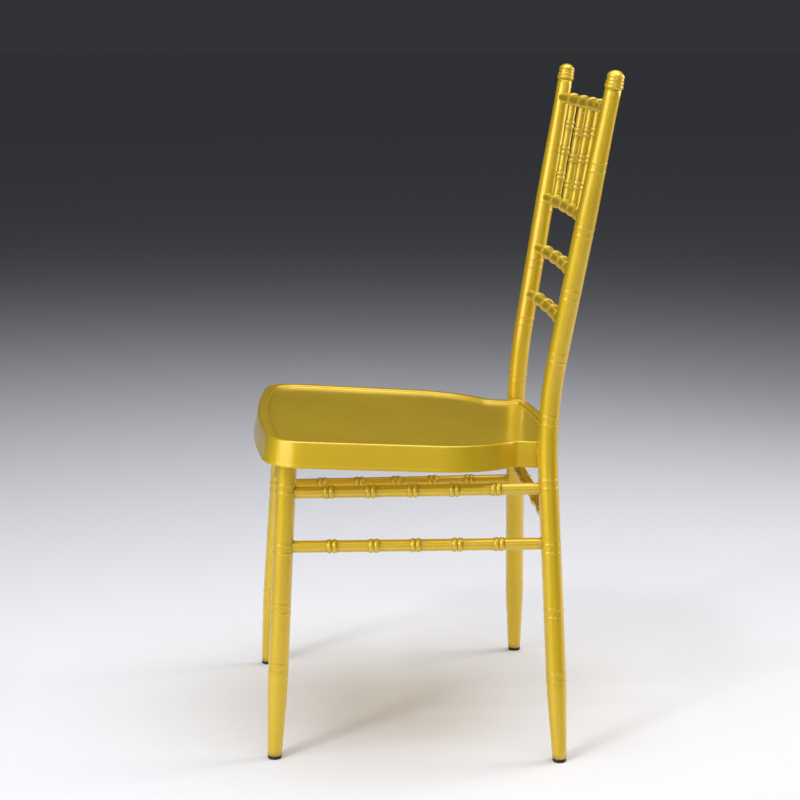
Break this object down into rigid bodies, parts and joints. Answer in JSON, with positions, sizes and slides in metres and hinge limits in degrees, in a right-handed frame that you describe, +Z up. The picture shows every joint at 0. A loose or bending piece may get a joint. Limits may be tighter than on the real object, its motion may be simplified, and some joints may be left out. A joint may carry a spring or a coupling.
{
  "type": "banquet chair",
  "caption": "Stacking side chair of gold-painted steel tube with bamboo-style rings, a stamped steel seat, bowed back rails and a row of back spindles.",
  "frame": {"origin": "on the floor, at the centre of the chair's plan", "axes": "+Z up, the chair faces -Y, +X is the sitter's left"},
  "size_m": [0.4914, 0.4835, 0.9163],
  "materials": {
    "gold_paint": "satin metallic",
    "glide_plastic": "matt"
  },
  "bodies": {
    "root": {"left_upright": "gold_paint", "right_upright": "gold_paint", "left_front_leg": "gold_paint", "right_front_leg": "gold_paint", "left_post_cap": "gold_paint", "right_post_cap": "gold_paint", "left_lower_stretcher": "gold_paint", "right_lower_stretcher": "gold_paint", "left_upper_stretcher": "gold_paint", "right_upper_stretcher": "gold_paint", "front_stretcher": "gold_paint", "rear_stretcher": "gold_paint", "top_rail": "gold_paint", "spindle_rail": "gold_paint", "upper_mid_rail": "gold_paint", "lower_mid_rail": "gold_paint", "spindle_1": "gold_paint", "spindle_2": "gold_paint", "spindle_3": "gold_paint", "spindle_4": "gold_paint", "spindle_5": "gold_paint", "seat_pan": "gold_paint", "seat_welds": "gold_paint", "front_left_glide": "glide_plastic", "front_right_glide": "glide_plastic", "rear_left_glide": "glide_plastic", "rear_right_glide": "glide_plastic"}
  },
  "joints": []
}
